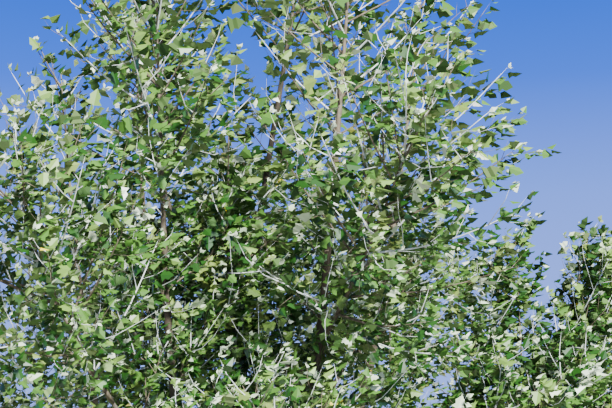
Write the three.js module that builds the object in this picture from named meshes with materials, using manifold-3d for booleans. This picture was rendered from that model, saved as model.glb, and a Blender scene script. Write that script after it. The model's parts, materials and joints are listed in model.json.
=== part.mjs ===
// A young white poplar, 6.4 m tall. One trunk forks low into seven leaders. Each leader carries side
// boughs, and every bough's tip goes on into a mass of foliage: a stem, its shoots and broad leaves.
// Millimetres, Z up. The origin is the centre of the flat cut under the trunk, at ground level.
import * as THREE from "three";
import { mergeVertices } from "three/addons/utils/BufferGeometryUtils.js";
import Module from "manifold-3d";

const wasm = await Module();
wasm.setup();

// Driving dimensions of the trunk
const FORK_HEIGHT = 1340; // where the trunk ends and its centre leader goes on
const TRUNK_RADIUS = 82; // at the lowest fork
const TRUNK_TOP_RADIUS = 40;
const TRUNK_LEAN = new THREE.Vector2(38, -22); // how far the trunk's top stands off its foot
const FLARE = 46; // how much wider the foot is than the trunk
const FLARE_FADE = 130; // height over which the flare fades
const BUTTRESSES = 5;
const BUTTRESS_DEPTH = 0.2; // share of the foot's radius
const GAP = 0.3; // between neighbouring limbs, and between a limb and its foliage

// Driving dimensions of the boughs
const DEPARTURE = 46; // degrees from upright at which a leader leaves the trunk
const TIP_LEAN = 9; // degrees from upright at a leader's tip
const LEADER_STEPS = 7;
const LEADER_SIDES = 7;
const SIDE_STEPS = 5;
const SIDE_SIDES = 6;
const LEADER_RADIUS = 35;
const LEADER_TIP_RADIUS = 17;
const SIDE_RADIUS_SHARE = 0.68; // of its leader's radius where it starts
const SIDE_TIP_RADIUS = 13;

// name, azimuth and height of its fork, then reach from the trunk's foot and height of its tip
const LEADERS = [
  { name: "right", azimuth: 3, fork: 1190, reach: 900, height: 3250 },
  { name: "back_right", azimuth: 60, fork: 1060, reach: 1140, height: 3700 },
  { name: "back_left", azimuth: 124, fork: 1150, reach: 1080, height: 3740 },
  { name: "left", azimuth: 180, fork: 1010, reach: 780, height: 2720 },
  { name: "front_left", azimuth: 252, fork: 1110, reach: 900, height: 3060 },
  { name: "front_right", azimuth: 302, fork: 960, reach: 1080, height: 3480 },
];
const CENTRE = { name: "centre", azimuth: 20, reach: 270, height: 4120 };

// Side boughs: the same two on every outer leader, turned from its azimuth. Their tips are this high on a
// leader of full height, and lower on a shorter one.
const FULL_HEIGHT = 3650;
const SIDE_BOUGHS = [
  { name: "low", from: 0.2, turn: 28, reach: 880, height: 1840, rise: 16 },
  { name: "mid", from: 0.5, turn: -6, reach: 1190, height: 2760, rise: 36 },
];
// One stands lower and flatter than its like
const OWN_SHAPES = { right_mid: { from: 0.45, reach: 1110, height: 2230, rise: 26 } };
// and three on the centre leader, each with its own azimuth
const CENTRE_BOUGHS = [
  { name: "front", from: 0.3, azimuth: 272, reach: 400, height: 2780, rise: 68 },
  { name: "back", from: 0.4, azimuth: 92, reach: 420, height: 3050, rise: 68 },
  { name: "side", from: 0.52, azimuth: 205, reach: 330, height: 3400, rise: 72 },
];

// The foliage that each kind of bough carries: length of its stem, then the half length and half width of
// the space that it keeps to
const FOLIAGE = {
  top: { stem: 2050, along: 1240, across: 860, shoots: 9 },
  leader: { stem: 1640, along: 1080, across: 820, shoots: 7 },
  mid: { stem: 1200, along: 980, across: 860, shoots: 7 },
  low: { stem: 1220, along: 990, across: 870, shoots: 7 },
  inner: { stem: 1080, along: 820, across: 680, shoots: 5 },
};

// How foliage grows
const GOLDEN_ANGLE = 137.5;
const STEM_STEPS = 4;
const STEM_LIFT = 0.45; // how far a stem turns towards upright over its length
const STEM_TIP_RADIUS = 9;
const STEM_SIDES = 5;
const FIRST_SHOOT = 0.06; // share of the stem below its lowest shoot
const OPEN_ANGLES = [66, 30]; // degrees between shoot and stem, at the foot and at the tip
const SHOOT_STEPS = 2;
const SHOOT_LIFT = 0.4;
const SHOOT_RADIUS = 10; // at most, and
const SHOOT_SHARE = 0.6; // of the stem's radius where it starts
const SHOOT_TIP_RADIUS = 5.5;
const SHOOT_SIDES = 3;
const SHOOT_REACH = [0.78, 0.94]; // share of the room that a shoot takes up
const LEAF_FROM = 0.22; // share of a shoot below its lowest leaf
const STEM_LEAF_FROM = 0.3;
const LEAF_SPACING = 205;
const LEAF_TRIES = 12; // ways that a leaf is turned before it is left out
const LEAF_LENGTH = 450; // each leaf stands for a spray
const LEAF_WIDTH = 0.86; // share of its length
const LEAF_BROADEST = 0.5; // share of its length from the root
const LEAF_THICKNESS = 11;
const LEAF_RIDGE = 0.18; // share of its length where it is thickest
const WIND = new THREE.Vector3(0.3, 0.04, 0); // the breeze that turns the blades
const SPACE_MARGIN = 4; // between one mass's leaves and the next mass's space
const LIMB_MARGIN = 4; // between a leaf and a limb that isn't its own

const UP = new THREE.Vector3(0, 0, 1);
const radians = THREE.MathUtils.degToRad;

const MATERIALS = {
  bark: new THREE.MeshStandardMaterial({ color: 0x8d8a7c, roughness: 0.85, metalness: 0 }),
  bough: new THREE.MeshStandardMaterial({ color: 0x7f7a68, roughness: 0.8, metalness: 0 }),
  foliage: new THREE.MeshStandardMaterial({ color: 0x5f7a45, roughness: 0.6, metalness: 0 }),
};

// A point by azimuth and reach round the upright axis, and height.
function polar(azimuth, reach, height) {
  const angle = radians(azimuth);
  return new THREE.Vector3(reach * Math.cos(angle), reach * Math.sin(angle), height);
}

// The direction that points out along an azimuth, lean degrees from upright.
function heading(azimuth, lean) {
  return polar(azimuth, Math.sin(radians(lean)), Math.cos(radians(lean)));
}

// A repeatable stream of numbers from 0 to 1.
function randomStream(seed) {
  let state = seed * 7919 + 12345;
  return () => {
    state = (state * 1664525 + 1013904223) % 4294967296;
    return state / 4294967296;
  };
}

// Any direction square to a tangent, the same one each time.
function squareTo(tangent) {
  const reference = Math.abs(tangent.z) < 0.9 ? UP : new THREE.Vector3(1, 0, 0);
  return new THREE.Vector3().crossVectors(tangent, reference).normalize();
}

// A path whose cross-section turns no more than the path itself does.
function framed(points, tangents) {
  let normal = squareTo(tangents[0]);
  const normals = tangents.map((tangent) => {
    normal = normal.clone().addScaledVector(tangent, -normal.dot(tangent)).normalize();
    return normal;
  });
  return { points, tangents, normals };
}

// A curved path from start to end that leaves and arrives in the given directions.
function curvedPath(start, leaving, end, arriving, steps) {
  const handle = start.distanceTo(end) * 0.38;
  const curve = new THREE.CubicBezierCurve3(
    start,
    start.clone().addScaledVector(leaving, handle),
    end.clone().addScaledVector(arriving, -handle),
    end,
  );
  const points = curve.getPoints(steps);
  return framed(points, points.map((_, i) => curve.getTangent(i / steps)));
}

// A path that sets off in a direction and turns steadily towards upright.
function risingPath(start, direction, length, steps, lift) {
  const points = [start.clone()];
  const tangents = [direction.clone().normalize()];
  for (let i = 0; i < steps; i++) {
    const before = tangents[i];
    points.push(points[i].clone().addScaledVector(before, length / steps));
    tangents.push(before.clone().addScaledVector(UP, lift / steps).normalize());
  }
  return framed(points, tangents);
}

// Where a path is, a share t of the way along its steps.
function pointOn(path, t) {
  const place = t * (path.points.length - 1);
  const i = Math.min(Math.floor(place), path.points.length - 2);
  const between = (vectors) => vectors[i].clone().lerp(vectors[i + 1], place - i);
  return {
    point: between(path.points),
    tangent: between(path.tangents).normalize(),
    normal: between(path.normals).normalize(),
  };
}

// A cylinder's vertices, moved ring by ring on to a path with a radius for each ring.
function limbGeometry(path, radii, sides) {
  const steps = path.points.length - 1;
  const geometry = new THREE.CylinderGeometry(1, 1, steps, sides, steps);
  const sideways = path.normals.map((n, i) => new THREE.Vector3().crossVectors(n, path.tangents[i]));
  const position = geometry.attributes.position;
  const v = new THREE.Vector3();
  for (let i = 0; i < position.count; i++) {
    v.fromBufferAttribute(position, i);
    const ring = Math.round(v.y + steps / 2);
    const p = path.points[ring].clone();
    p.addScaledVector(path.normals[ring], v.x * radii[ring]);
    p.addScaledVector(sideways[ring], v.z * radii[ring]);
    position.setXYZ(i, p.x, p.y, p.z);
  }
  return geometry;
}

// Radii that taper evenly from one end of a path to the other.
function taper(path, from, to) {
  const last = path.points.length - 1;
  return path.points.map((_, i) => from + ((to - from) * i) / last);
}

function solidOf(geometry) {
  const bare = geometry.clone();
  bare.deleteAttribute("normal");
  bare.deleteAttribute("uv");
  const merged = mergeVertices(bare, 1e-3);
  return new wasm.Manifold(
    new wasm.Mesh({
      numProp: 3,
      vertProperties: merged.attributes.position.array,
      triVerts: new Uint32Array(merged.index.array),
    }),
  );
}

// The largest body of a solid, without loose scraps, sealed hollows and needless vertices.
function wholeBody(solid) {
  const bodies = solid.decompose();
  return bodies.reduce((most, body) => (body.volume() > most.volume() ? body : most)).simplify(0.01);
}

function meshOf(name, solid, material) {
  const { vertProperties, triVerts } = solid.getMesh();
  const geometry = new THREE.BufferGeometry();
  geometry.setAttribute("position", new THREE.BufferAttribute(vertProperties, 3));
  geometry.setIndex(new THREE.BufferAttribute(triVerts, 1));
  geometry.computeVertexNormals();
  const mesh = new THREE.Mesh(geometry, material);
  mesh.name = name;
  return mesh;
}

// The trunk's axis at a height: a slight lean with a soft bend in it.
function trunkAxis(height) {
  const t = height / FORK_HEIGHT;
  const bend = 14 * Math.sin(Math.PI * t);
  return new THREE.Vector3(TRUNK_LEAN.x * t * t + bend, TRUNK_LEAN.y * t - bend * 0.5, height);
}

function trunkRadius(height) {
  const lowestFork = Math.min(...LEADERS.map((leader) => leader.fork));
  const forked = THREE.MathUtils.smoothstep(height, lowestFork, FORK_HEIGHT);
  return THREE.MathUtils.lerp(TRUNK_RADIUS * (1.1 - (0.1 * height) / lowestFork), TRUNK_TOP_RADIUS, forked);
}

// The trunk: level rings on its leaning axis, with buttresses that fade up the flare.
function trunkSolid(extra = 0) {
  const sides = 14;
  const rings = [0, 50, 120, 230, 400, 650, 900, 1040, 1160, 1260, FORK_HEIGHT];
  const steps = rings.length - 1;
  const geometry = new THREE.CylinderGeometry(1, 1, steps, sides, steps);
  const position = geometry.attributes.position;
  for (let i = 0; i < position.count; i++) {
    const height = rings[Math.round(position.getY(i) + steps / 2)];
    const [x, y] = [position.getX(i), -position.getZ(i)];
    const fade = Math.exp(-height / FLARE_FADE);
    const lobe = 1 + BUTTRESS_DEPTH * fade * Math.cos(BUTTRESSES * Math.atan2(y, x));
    const radius = (trunkRadius(height) + FLARE * fade) * lobe + extra;
    const axis = trunkAxis(height);
    position.setXYZ(i, axis.x + x * radius, axis.y + y * radius, height);
  }
  return solidOf(geometry);
}

// A bough: its path, its radii and the limb that it grows from.
function makeBough(name, path, radii, sides, parent) {
  const grow = (extra) => solidOf(limbGeometry(path, radii.map((r) => r + extra), sides));
  return { name, path, radii, parent, grow, tipRadius: radii[radii.length - 1] };
}

function makeLeaders() {
  const top = trunkAxis(FORK_HEIGHT);
  const start = top.clone().addScaledVector(UP, GAP);
  const tip = polar(CENTRE.azimuth, CENTRE.reach, CENTRE.height);
  const path = curvedPath(start, UP, tip, heading(CENTRE.azimuth, TIP_LEAN), LEADER_STEPS);
  const radii = taper(path, TRUNK_TOP_RADIUS, LEADER_TIP_RADIUS);
  const centre = makeBough(CENTRE.name, path, radii, LEADER_SIDES, null);
  const outer = LEADERS.map(({ name, azimuth, fork, reach, height }) => {
    const end = polar(azimuth, reach, height);
    const [leaving, arriving] = [heading(azimuth, DEPARTURE), heading(azimuth, TIP_LEAN)];
    const way = curvedPath(trunkAxis(fork), leaving, end, arriving, LEADER_STEPS);
    const narrowing = taper(way, LEADER_RADIUS, LEADER_TIP_RADIUS);
    const leader = makeBough(name, way, narrowing, LEADER_SIDES, "trunk");
    return { ...leader, azimuth };
  });
  return [{ ...centre, azimuth: CENTRE.azimuth }, ...outer];
}

function makeSideBough(leader, { name, from, azimuth, reach, height, rise }) {
  const { point, tangent } = pointOn(leader.path, from);
  const leaving = tangent.clone().add(heading(azimuth, 90)).normalize();
  const tip = polar(azimuth, reach, height);
  const path = curvedPath(point, leaving, tip, heading(azimuth, 90 - rise), SIDE_STEPS);
  const radiusThere = THREE.MathUtils.lerp(leader.radii[0], leader.tipRadius, from);
  const radii = taper(path, radiusThere * SIDE_RADIUS_SHARE, SIDE_TIP_RADIUS);
  return makeBough(leader.name + "_" + name, path, radii, SIDE_SIDES, leader.name);
}

function makeSideBoughs(leaders) {
  return leaders.flatMap((leader) => {
    if (leader.name === CENTRE.name) return CENTRE_BOUGHS.map((bough) => makeSideBough(leader, bough));
    const share = leader.path.points.at(-1).z / FULL_HEIGHT;
    return SIDE_BOUGHS.map((bough) => {
      const own = OWN_SHAPES[`${leader.name}_${bough.name}`];
      const azimuth = leader.azimuth + bough.turn;
      return makeSideBough(leader, { ...bough, azimuth, height: bough.height * share, ...own });
    });
  });
}

// The space that a mass of foliage keeps to: an ellipsoid along its stem, less what lies nearer to
// another mass.
function makeSpace(bough, kind, seed) {
  const { stem, along, across, shoots } = FOLIAGE[kind];
  const direction = bough.path.tangents.at(-1);
  const root = bough.path.points.at(-1).clone().addScaledVector(direction, GAP);
  const path = risingPath(root, direction, stem, STEM_STEPS, STEM_LIFT);
  const end = path.points.at(-1);
  const centre = root.clone().lerp(end, 0.52);
  const axis = end.clone().sub(root).normalize();
  return { bough, path, centre, axis, along, across, shoots, seed };
}

// How far a point lies on a space's own side of the plane between it and another space.
function pastPlane(space, other, point) {
  const between = other.centre.clone().sub(space.centre);
  const distance = between.length();
  const share = 0.5 + (space.across ** 2 - other.across ** 2) / (2 * distance ** 2);
  const plane = space.centre.clone().addScaledVector(between, share);
  return plane.sub(point).dot(between) / distance;
}

function inSpace(space, spaces, point, margin = SPACE_MARGIN) {
  const off = point.clone().sub(space.centre);
  const lengthwise = off.dot(space.axis);
  const sideways = Math.sqrt(Math.max(0, off.lengthSq() - lengthwise ** 2));
  if ((lengthwise / space.along) ** 2 + (sideways / space.across) ** 2 > 1) return false;
  return spaces.every((other) => other === space || pastPlane(space, other, point) > margin);
}

// How far one can go from a point before leaving the space.
function roomAhead(space, spaces, point, direction) {
  const step = 20;
  const ahead = point.clone();
  let room = 0;
  while (inSpace(space, spaces, ahead.addScaledVector(direction, step))) room += step;
  return room;
}

// The k-th shoot of a stem.
function growShoot(space, spaces, k, draw) {
  const share = (k + 0.3 + 0.4 * draw()) / space.shoots;
  const from = FIRST_SHOOT + (1 - FIRST_SHOOT) * share;
  const { point, tangent, normal } = pointOn(space.path, from);
  const turn = radians(k * GOLDEN_ANGLE + space.seed * 70 + 30 * (draw() - 0.5));
  const open = radians(THREE.MathUtils.lerp(...OPEN_ANGLES, from) + 14 * (draw() - 0.5));
  normal.applyAxisAngle(tangent, turn);
  const direction = tangent.clone().multiplyScalar(Math.cos(open)).addScaledVector(normal, Math.sin(open));
  const reach = THREE.MathUtils.lerp(...SHOOT_REACH, draw());
  const length = roomAhead(space, spaces, point, direction) * reach;
  const path = risingPath(point, direction, length, SHOOT_STEPS, SHOOT_LIFT);
  const stemRadius = THREE.MathUtils.lerp(space.bough.tipRadius, STEM_TIP_RADIUS, from);
  return { path, radii: taper(path, Math.min(SHOOT_RADIUS, SHOOT_SHARE * stemRadius), SHOOT_TIP_RADIUS) };
}

// A broad leaf with six faces: root, tip, two sides, and a ridge on top near the root.
function leafGeometry(root, direction, face, length) {
  const side = new THREE.Vector3().crossVectors(direction, face).normalize();
  const up = new THREE.Vector3().crossVectors(side, direction);
  const geometry = new THREE.SphereGeometry(1, 3, 2);
  const position = geometry.attributes.position;
  for (let i = 0; i < position.count; i++) {
    const [x, y, z] = [position.getX(i), position.getY(i), position.getZ(i)];
    const [atTip, atRoot, onRidge] = [y > 0.5, y < -0.5, x < -0.5];
    const lengthwise = atTip ? 1 : atRoot ? 0 : onRidge ? LEAF_RIDGE : LEAF_BROADEST;
    const p = root.clone().addScaledVector(direction, lengthwise * length);
    if (!atTip && !atRoot && onRidge) p.addScaledVector(up, LEAF_THICKNESS);
    if (!atTip && !atRoot && !onRidge) p.addScaledVector(side, (Math.sign(z) * LEAF_WIDTH * length) / 2);
    position.setXYZ(i, p.x, p.y, p.z);
  }
  return geometry;
}

function cornersOf(geometry) {
  const position = geometry.attributes.position;
  const at = (i) => new THREE.Vector3().fromBufferAttribute(position, i);
  return Array.from({ length: position.count }, (_, i) => at(i));
}

// A solid with the box round it, so that far ones are told apart at once.
function boxed(solid) {
  const { min, max } = solid.boundingBox();
  return { solid, min, max };
}

function touches(a, b) {
  const apart = [0, 1, 2].some((i) => a.min[i] > b.max[i] || b.min[i] > a.max[i]);
  return !apart && !a.solid.intersect(b.solid).isEmpty();
}

// Where leaves stand along a path, the tip's own leaf first.
function leafSites(path, from) {
  const length = path.points[0].distanceTo(path.points.at(-1));
  const count = Math.max(1, Math.round((length * (1 - from)) / LEAF_SPACING));
  const shares = Array.from({ length: count }, (_, i) => 1 - ((1 - from) * (i + 1)) / count);
  return [0.97, ...shares];
}

// One leaf at a site, on one face of its twig: it is turned until it keeps to its space and touches
// nothing but that twig.
function growLeaf(space, spaces, twig, share, draw, obstacles) {
  const { point, tangent, normal } = pointOn(twig.path, share);
  const atTip = share > 0.95;
  for (let i = 0; i < LEAF_TRIES; i++) {
    const faceOfTwig = Math.floor(draw() * twig.sides) + 0.25 * twig.sides;
    const outOfFace = normal.clone().applyAxisAngle(tangent, radians((360 * faceOfTwig) / twig.sides));
    const spread = atTip ? (0.5 * i) / LEAF_TRIES : 0.8 + 0.6 * draw();
    const direction = tangent.clone().addScaledVector(outOfFace, spread).add(WIND).normalize();
    const outward = point.clone().sub(space.centre).normalize();
    const face = new THREE.Vector3(draw() - 0.5, draw() - 0.5, draw() - 0.1).add(outward).normalize();
    if (Math.abs(face.dot(direction)) > 0.95) continue;
    const length = LEAF_LENGTH * (1.1 - 0.04 * i - 0.15 * draw());
    const root = point.clone().addScaledVector(direction, atTip ? 0 : 1.5);
    const geometry = leafGeometry(root, direction, face, length);
    if (!cornersOf(geometry).every((corner) => inSpace(space, spaces, corner))) continue;
    const leaf = boxed(solidOf(geometry));
    if (!obstacles.some((other) => touches(leaf, other))) return leaf;
  }
  return null;
}

// A mass of foliage: its stem, its shoots and their leaves, fused into one solid.
function growMass(space, spaces, others) {
  const draw = randomStream(space.seed);
  const stemRadii = taper(space.path, space.bough.tipRadius, STEM_TIP_RADIUS);
  const stem = boxed(solidOf(limbGeometry(space.path, stemRadii, STEM_SIDES)));
  const twigs = [{ path: space.path, sides: STEM_SIDES, from: STEM_LEAF_FROM, body: stem }];
  for (let k = 0; k < space.shoots; k++) {
    const { path, radii } = growShoot(space, spaces, k, draw);
    const body = boxed(solidOf(limbGeometry(path, radii, SHOOT_SIDES)));
    const inside = path.points.slice(1).every((p) => inSpace(space, spaces, p, SPACE_MARGIN + radii[0]));
    const clear = !others.some((other) => touches(body, other));
    if (inside && clear) twigs.push({ path, sides: SHOOT_SIDES, from: LEAF_FROM, body });
  }
  const leaves = [];
  for (const twig of twigs) {
    const neighbours = twigs.filter((other) => other !== twig).map((other) => other.body);
    for (const share of leafSites(twig.path, twig.from)) {
      const leaf = growLeaf(space, spaces, twig, share, draw, [...others, ...neighbours, ...leaves]);
      if (leaf) leaves.push(leaf);
    }
  }
  const pieces = [...twigs.map((twig) => twig.body), ...leaves].map((piece) => piece.solid);
  return wholeBody(wasm.Manifold.union(pieces));
}

function foliageKind(bough) {
  if (bough.name === CENTRE.name) return "top";
  if (bough.parent === "trunk") return "leader";
  if (bough.parent === CENTRE.name) return "inner";
  return bough.name.endsWith("_low") ? "low" : "mid";
}

function buildTree() {
  const tree = new THREE.Group();
  tree.add(meshOf("trunk", trunkSolid(), MATERIALS.bark));

  const leaders = makeLeaders();
  const boughs = [...leaders, ...makeSideBoughs(leaders)];
  const grown = [{ name: "trunk", solid: trunkSolid(GAP) }];
  for (const bough of boughs) {
    const cuts = bough.parent ? grown : grown.slice(1);
    const solid = cuts.reduce((rest, cut) => rest.subtract(cut.solid), bough.grow(0));
    grown.push({ name: bough.name, solid: bough.grow(GAP) });
    tree.add(meshOf("bough_" + bough.name, wholeBody(solid), MATERIALS.bough));
  }

  const spaces = boughs.map((bough, i) => makeSpace(bough, foliageKind(bough), i + 1));
  const limbs = [boxed(trunkSolid(LIMB_MARGIN)), ...boughs.map((bough) => boxed(bough.grow(LIMB_MARGIN)))];
  const stems = spaces.map(({ path, bough }) => {
    const radii = taper(path, bough.tipRadius + LIMB_MARGIN, STEM_TIP_RADIUS + LIMB_MARGIN);
    return boxed(solidOf(limbGeometry(path, radii, STEM_SIDES)));
  });
  spaces.forEach((space, own) => {
    const others = [...limbs, ...stems.filter((_, i) => i !== own)];
    const solid = growMass(space, spaces, others);
    tree.add(meshOf("foliage_" + space.bough.name, solid, MATERIALS.foliage));
  });
  return tree;
}

const tree = buildTree();

export default tree;
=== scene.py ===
"""Looks for a young white poplar: bark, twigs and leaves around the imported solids.

Objects are in metres, Z up. Lengths in the rule and its arrays are in millimetres, angles in degrees.
"""
import json
import math

import bmesh
import bpy
import numpy as np
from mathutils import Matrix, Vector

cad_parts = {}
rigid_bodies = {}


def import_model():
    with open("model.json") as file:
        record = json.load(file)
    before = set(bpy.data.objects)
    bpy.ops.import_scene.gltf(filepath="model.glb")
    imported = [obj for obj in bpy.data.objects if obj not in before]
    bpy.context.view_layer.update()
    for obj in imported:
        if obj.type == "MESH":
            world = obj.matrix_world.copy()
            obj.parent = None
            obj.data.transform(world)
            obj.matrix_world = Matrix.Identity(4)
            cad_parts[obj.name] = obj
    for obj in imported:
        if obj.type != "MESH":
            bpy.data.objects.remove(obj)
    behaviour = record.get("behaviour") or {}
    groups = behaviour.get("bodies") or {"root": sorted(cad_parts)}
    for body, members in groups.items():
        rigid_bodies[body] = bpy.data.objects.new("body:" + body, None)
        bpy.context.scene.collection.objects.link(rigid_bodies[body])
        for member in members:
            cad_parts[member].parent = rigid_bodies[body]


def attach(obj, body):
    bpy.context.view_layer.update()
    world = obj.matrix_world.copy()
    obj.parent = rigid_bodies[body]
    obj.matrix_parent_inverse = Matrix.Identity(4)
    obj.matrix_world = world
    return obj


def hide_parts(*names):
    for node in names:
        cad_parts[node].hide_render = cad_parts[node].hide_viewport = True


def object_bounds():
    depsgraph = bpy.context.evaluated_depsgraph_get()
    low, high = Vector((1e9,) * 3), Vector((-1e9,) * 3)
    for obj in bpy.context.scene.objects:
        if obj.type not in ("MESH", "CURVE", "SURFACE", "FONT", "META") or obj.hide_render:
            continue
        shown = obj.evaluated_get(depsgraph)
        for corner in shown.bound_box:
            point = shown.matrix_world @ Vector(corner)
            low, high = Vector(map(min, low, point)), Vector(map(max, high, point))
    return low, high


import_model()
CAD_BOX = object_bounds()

UP = np.array([0.0, 0.0, 1.0])
MM = 0.001
METRE = 1000.0

# The limbs, as the source has them
FORK_HEIGHT = 1340.0  # where the trunk ends and its centre leader goes on
TRUNK_RADIUS = 82.0  # at the lowest fork
TRUNK_TAPER = 0.1  # how much thicker the trunk is at the ground
TRUNK_TOP_RADIUS = 40.0
TRUNK_LEAN = (38.0, -22.0)  # how far the trunk's top stands off its foot
TRUNK_BEND = (14.0, -7.0)  # how far its middle stands off the line between them
FLARE = 46.0  # how much wider the foot is
FLARE_FADE = 130.0  # height over which the flare fades
BUTTRESSES = 5
BUTTRESS_DEPTH = 0.2  # share of the foot's radius
GAP = 0.3  # between neighbouring limbs, and limb and foliage

DEPARTURE = 46.0  # from upright, where a leader leaves the trunk
TIP_LEAN = 9.0  # from upright, at a leader's tip
HANDLE = 0.38  # of a bough's curve, as a share of its span
LEADER_STEPS = 7
SIDE_STEPS = 5
FINE_STEPS = 8  # for each of the source's, for bark and shoots
LEADER_RADII = (35.0, 17.0)  # at foot and tip
SIDE_RADIUS_SHARE = 0.68  # of its leader's radius where it starts
SIDE_TIP_RADIUS = 13.0

# name, azimuth, height of the fork, reach and height of the tip
LEADERS = [
    ("right", 3, 1190, 900, 3250),
    ("back_right", 60, 1060, 1140, 3700),
    ("back_left", 124, 1150, 1080, 3740),
    ("left", 180, 1010, 780, 2720),
    ("front_left", 252, 1110, 900, 3060),
    ("front_right", 302, 960, 1080, 3480),
]
CENTRE = ("centre", 20, 270, 4120)
# name, share of the leader below it, turn from its azimuth, reach, height and rise at the tip;
# the height is for a leader of full height
FULL_HEIGHT = 3650.0
SIDE_BOUGHS = [("low", 0.2, 28, 880, 1840, 16), ("mid", 0.5, -6, 1190, 2760, 36)]
OWN_SHAPES = {("right", "mid"): (0.45, 1110, 2230, 26)}  # from, reach, height and rise
# the same, with an azimuth of its own
CENTRE_BOUGHS = [
    ("front", 0.3, 272, 400, 2780, 68),
    ("back", 0.4, 92, 420, 3050, 68),
    ("side", 0.52, 205, 330, 3400, 72),
]

# The masses of foliage, as the source has them
# kind of bough: stem length, half length and half width of its space, shoots
FOLIAGE = {
    "top": (2050, 1240, 860, 9),
    "leader": (1640, 1080, 820, 7),
    "mid": (1200, 980, 860, 7),
    "low": (1220, 990, 870, 7),
    "inner": (1080, 820, 680, 5),
}
GOLDEN_ANGLE = 137.5
TURN_PER_MASS = 70.0
STEM_STEPS = 4
STEM_LIFT = 0.45  # how far a stem turns towards upright over its length
SPACE_CENTRE = 0.52  # share of a stem below the middle of its space
SPACE_MARGIN = 4.0  # between one mass and the next one's space
FIRST_SHOOT = 0.06  # share of a stem below its lowest shoot
OFF_STEP = (0.3, 0.4)  # a shoot's place in its step: the least share, and the spread
TURN_SPREAD = 30.0
OPEN_ANGLES = (66.0, 30.0)  # between shoot and stem, at the foot and at the tip
OPEN_SPREAD = 14.0
SHOOT_STEPS = 2
SHOOT_LIFT = 0.4
SHOOT_REACH = (0.78, 0.94)  # share of the room that a shoot takes up
SHOOT_LOOK = 20.0  # step in which the room ahead is felt out
LOOKS = 139

# Finer shoots and twigs
MORE_SHOOTS = 3  # for each of the source's
MORE_SEED, MASS_SEED, LEAF_SEED = 500, 1000, 4242
SHOOT_RADII = (7.5, 5.8)  # of the source's shoots and the finer ones
SHOOT_THICKNESS = (0.55, 0.45, 700.0)  # least share of that, what a long one has more, and its length
SHOOT_TIP_RADIUS = 2.3
SHOOT_SIDES, SHOOT_PIECES = 5, 3  # and pieces for each step of its path
SHORTEST_SHOOT = 120.0
TWIG_SPACING, LEAF_SPACING = 48.0, 40.0  # up a shoot
STEM_TWIGS = 1.7  # how much closer on a stem
STEM_TIP_RADIUS = 3.5
STEM_TAPER = 1.5
STEM_SIDES, STEM_PIECES = 7, 4
# share of a shoot or stem below its lowest twig and leaf
SHOOT_BARE, STEM_BARE = (0.08, 0.35), (0.02, 0.6)
BOUGH_SHOOT_SPACING = 130.0
BOUGH_SHOOTS_FROM = 0.16  # share of a bough below its lowest shoot
BOUGH_SHOOT_LENGTHS = (320.0, 640.0)
BOUGH_SHOOT_ANGLES = (48, 66)
BOUGH_SHOOT_RADIUS = 5.0
BOUGH_TWIG_ROOM = 400.0  # inside the crown nothing else bounds them
# twigs: lengths, turn towards upright, leaf spacing, thickness, steps and share below the lowest leaf
LEAFY_TWIG = ((115.0, 275.0), 0.45, 18.5, 1.7, 2, 0.08)
LONG_TWIG = ((240.0, 460.0), 0.90, 30.0, 3.2, 3, 0.15)
LONG_SHARE = 0.22
LONG_AT_FOOT = 0.4  # times that at a shoot's foot; 1 more at its tip
LAST_TWIG = 0.97  # share of a shoot below its highest twig
TWIG_ANGLE = 62  # between twig and shoot
TWIG_CLOSING = 20  # how much less at the shoot's tip
TWIG_ANGLE_SPREAD = 12
TWIG_SHORTENING = (1.22, 0.66)  # of twigs at the foot and the tip of their shoot
TWIG_THICKNESS = (0.7, 0.5)  # least share of its thickness, and what a long one has more
TWIG_TIP_RADIUS = 1.5
TWIG_SIDES = 3
SHORTEST_TWIG = 45
TWIG_LOOK = 15.0
TWIG_REACH = 0.97  # share of the room that a twig takes up
TWIG_DRIFT = 0.30  # how far the wind turns a twig
TWIG_WAVER = 0.13
FELTED_SHARES = {"white": 0.4, "brown": 0.15, "stem": 0.3}  # of the short twigs on each
ROSETTES = {"twig": 4, "shoot": 3, "stem": 4}  # leaves round a felted tip
ROSETTE_SETBACK = 4.0
LIMB_CLEARANCE = 6.0
PAST_BOX = 60.0  # how far a twig or leaf may pass the solids' box
# share of the full density, by height and by mass
THINNING = (
    [1600, 2100, 2500, 3100, 3500, 3900, 4350, 4800, 5300],
    [0.88, 1.0, 1.15, 0.90, 0.58, 0.38, 0.27, 0.27, 0.36],
)
FULLNESS = {
    "left": 0.28, "front_left_mid": 0.8, "back_left": 0.9, "back_right": 0.45, "front_right": 0.66,
    "right": 0.62, "front_right_mid": 0.85, "centre": 1.5, "centre_side": 1.5, "front_left": 1.4,
    "centre_front": 1.2, "right_mid": 1.3, "front_right_low": 1.45, "back_right_mid": 1.1,
    "back_left_low": 1.05, "back_right_low": 0.9, "left_low": 0.9, "right_low": 0.9,
    "front_left_low": 0.95,
}

# Leaves
# half a rim, as shares of the length; the first point is where stalk and blade meet
LOBED = [(0.27, 0.014), (0.37, 0.36), (0.53, 0.19), (0.70, 0.24)]
SHOULDERED = [(0.27, 0.014), (0.42, 0.33), (0.72, 0.17)]
ROUND = [(0.27, 0.014), (0.54, 0.29)]
SMALL = [(0.48, 0.27)]
SHAPES = [LOBED, SHOULDERED, ROUND, SMALL]
FOLD = 0.30  # how far a blade's sides hang, as a share of their width
LEAF_SHAPE_SIZES = (1.16, 0.93)  # lobed above the first, simple below the second
SHAPE_SPREAD = 0.06
LEAF_LENGTH = 59.0  # stalk included
LEAF_SPREAD = (0.24, 0.45)  # of its logarithm: standard deviation and limit
LEAF_GROWTH = ([2700, 4000], [1.0, 1.5])  # strong shoots aloft bear larger leaves
YOUNG_REACH = 30.0  # leaves this near to a twig's tip are young
YOUNG_SHRINKING = 0.5
YOUNGEST = 0.8  # the small shape is for these
LEAF_ANGLES = (45, 75)  # between leaf and twig
YOUNG_CLOSING = 28
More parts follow.
